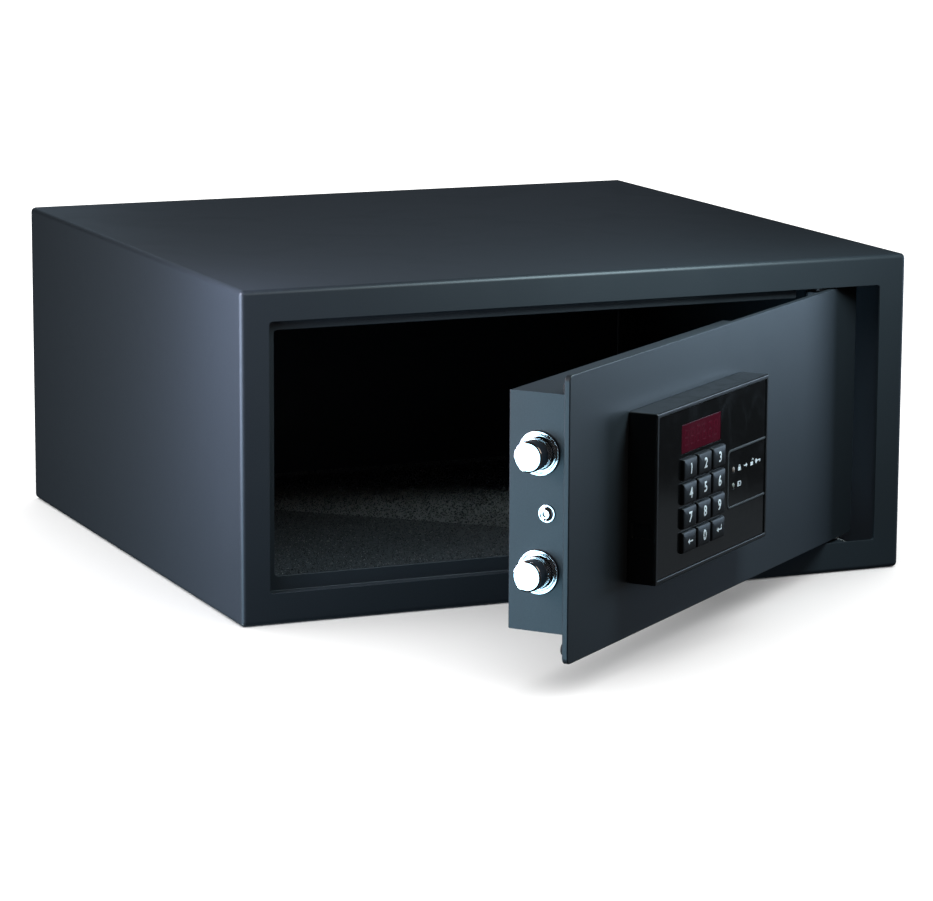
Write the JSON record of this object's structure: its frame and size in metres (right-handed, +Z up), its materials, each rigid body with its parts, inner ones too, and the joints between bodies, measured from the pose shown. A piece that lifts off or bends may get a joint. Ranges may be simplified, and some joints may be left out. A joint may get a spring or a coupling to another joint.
{
  "type": "in room safe",
  "caption": "Laptop-size room safe: sheet steel body with a left-opening door on pin hinges, keypad and display, and motor-driven round bolts.",
  "frame": {"origin": "centre of the body's underside", "axes": "-Y is the front with the door, +X is to the right seen from the front (the hinge side), +Z is up"},
  "size_m": [0.43, 0.6209, 0.195],
  "materials": {
    "graphite_coat": "fine texture powder coat, semi-matt",
    "carpet": "short felt pile",
    "chrome": "polished",
    "zinc_steel": "zinc plated",
    "nylon": "natural nylon",
    "rubber": "matt",
    "gloss_black": "gloss",
    "key_grey": "satin with light legends",
    "red_lens": "tinted, gloss",
    "amber_led": "clear",
    "green_led": "clear",
    "board_green": "solder mask",
    "silicone": "matt",
    "black_plastic": "matt",
    "cell_sleeve": "printed sleeve, plain"
  },
  "bodies": {
    "body": {"body_shell": "graphite_coat", "back_panel": "graphite_coat", "door_stop_frame": "graphite_coat", "floor_mat": "carpet", "upper_hinge_bracket": "graphite_coat", "lower_hinge_bracket": "graphite_coat", "upper_hinge_pin": "zinc_steel", "lower_hinge_pin": "zinc_steel"},
    "door": {"battery_cell_1": "cell_sleeve", "battery_cell_2": "cell_sleeve", "battery_cell_3": "cell_sleeve", "battery_cell_4": "cell_sleeve", "battery_cover": "black_plastic", "battery_holder": "black_plastic", "circuit_board": "board_green", "display_module": "black_plastic", "display_window": "red_lens", "door_plate": "graphite_coat", "gear_motor": "zinc_steel", "key_mat": "silicone", "keypad_fascia": "gloss_black", "keypad_housing": "gloss_black", "label_inlay": "gloss_black", "lock_chassis": "zinc_steel", "lock_cover": "graphite_coat", "lower_bolt_bushing": "chrome", "lower_bumper": "rubber", "lower_cover_screw": "zinc_steel", "lower_cover_standoff": "zinc_steel", "lower_hinge_bush": "nylon", "lower_hinge_tab": "graphite_coat", "lower_status_light": "green_led", "side_screw": "chrome", "upper_bolt_bushing": "chrome", "upper_bumper": "rubber", "upper_cover_screw": "zinc_steel", "upper_cover_standoff": "zinc_steel", "upper_hinge_bush": "nylon", "upper_hinge_tab": "graphite_coat", "upper_status_light": "amber_led"},
    "bolts": {"upper_bolt": "chrome", "lower_bolt": "chrome", "bolt_carrier": "zinc_steel"},
    "pinion": {"drive_pinion": "zinc_steel", "pinion_shaft": "zinc_steel"},
    "key_1_cap": {"key_1": "key_grey"},
    "key_2_cap": {"key_2": "key_grey"},
    "key_3_cap": {"key_3": "key_grey"},
    "key_4_cap": {"key_4": "key_grey"},
    "key_5_cap": {"key_5": "key_grey"},
    "key_6_cap": {"key_6": "key_grey"},
    "key_7_cap": {"key_7": "key_grey"},
    "key_8_cap": {"key_8": "key_grey"},
    "key_9_cap": {"key_9": "key_grey"},
    "key_clear_cap": {"key_clear": "key_grey"},
    "key_0_cap": {"key_0": "key_grey"},
    "key_enter_cap": {"key_enter": "key_grey"}
  },
  "joints": [
    {"name": "door_hinge", "type": "hinge", "parent": "body", "child": "door", "pos_m": [0.1626, -0.1903, 0.0975], "axis": [0, 0, 1], "range_deg": [-38.55, 56.45]},
    {"name": "bolt_slide", "type": "slide", "parent": "door", "child": "bolts", "axis": [-0.7821, -0.6232, 0], "range_m": [-0.013, 0]},
    {"name": "pinion_spin", "type": "hinge", "parent": "door", "child": "pinion", "pos_m": [-0.05555, -0.34738, 0.097], "axis": [0.6232, -0.7821, 0], "range_deg": [-124.2, 0.1]},
    {"name": "key_1_press", "type": "slide", "parent": "door", "child": "key_1_cap", "axis": [-0.6232, 0.7821, 0], "range_m": [0, 0.0012], "stiffness_N_per_m": 800, "springref_m": -0.0012},
    {"name": "key_2_press", "type": "slide", "parent": "door", "child": "key_2_cap", "axis": [-0.6232, 0.7821, 0], "range_m": [0, 0.0012], "stiffness_N_per_m": 800, "springref_m": -0.0012},
    {"name": "key_3_press", "type": "slide", "parent": "door", "child": "key_3_cap", "axis": [-0.6232, 0.7821, 0], "range_m": [0, 0.0012], "stiffness_N_per_m": 800, "springref_m": -0.0012},
    {"name": "key_4_press", "type": "slide", "parent": "door", "child": "key_4_cap", "axis": [-0.6232, 0.7821, 0], "range_m": [0, 0.0012], "stiffness_N_per_m": 800, "springref_m": -0.0012},
    {"name": "key_5_press", "type": "slide", "parent": "door", "child": "key_5_cap", "axis": [-0.6232, 0.7821, 0], "range_m": [0, 0.0012], "stiffness_N_per_m": 800, "springref_m": -0.0012},
    {"name": "key_6_press", "type": "slide", "parent": "door", "child": "key_6_cap", "axis": [-0.6232, 0.7821, 0], "range_m": [0, 0.0012], "stiffness_N_per_m": 800, "springref_m": -0.0012},
    {"name": "key_7_press", "type": "slide", "parent": "door", "child": "key_7_cap", "axis": [-0.6232, 0.7821, 0], "range_m": [0, 0.0012], "stiffness_N_per_m": 800, "springref_m": -0.0012},
    {"name": "key_8_press", "type": "slide", "parent": "door", "child": "key_8_cap", "axis": [-0.6232, 0.7821, 0], "range_m": [0, 0.0012], "stiffness_N_per_m": 800, "springref_m": -0.0012},
    {"name": "key_9_press", "type": "slide", "parent": "door", "child": "key_9_cap", "axis": [-0.6232, 0.7821, 0], "range_m": [0, 0.0012], "stiffness_N_per_m": 800, "springref_m": -0.0012},
    {"name": "key_clear_press", "type": "slide", "parent": "door", "child": "key_clear_cap", "axis": [-0.6232, 0.7821, 0], "range_m": [0, 0.0012], "stiffness_N_per_m": 800, "springref_m": -0.0012},
    {"name": "key_0_press", "type": "slide", "parent": "door", "child": "key_0_cap", "axis": [-0.6232, 0.7821, 0], "range_m": [0, 0.0012], "stiffness_N_per_m": 800, "springref_m": -0.0012},
    {"name": "key_enter_press", "type": "slide", "parent": "door", "child": "key_enter_cap", "axis": [-0.6232, 0.7821, 0], "range_m": [0, 0.0012], "stiffness_N_per_m": 800, "springref_m": -0.0012}
  ],
  "couplings": [
    {"joint": "pinion_spin", "follows": "bolt_slide", "rad_per_m": 166.67}
  ]
}
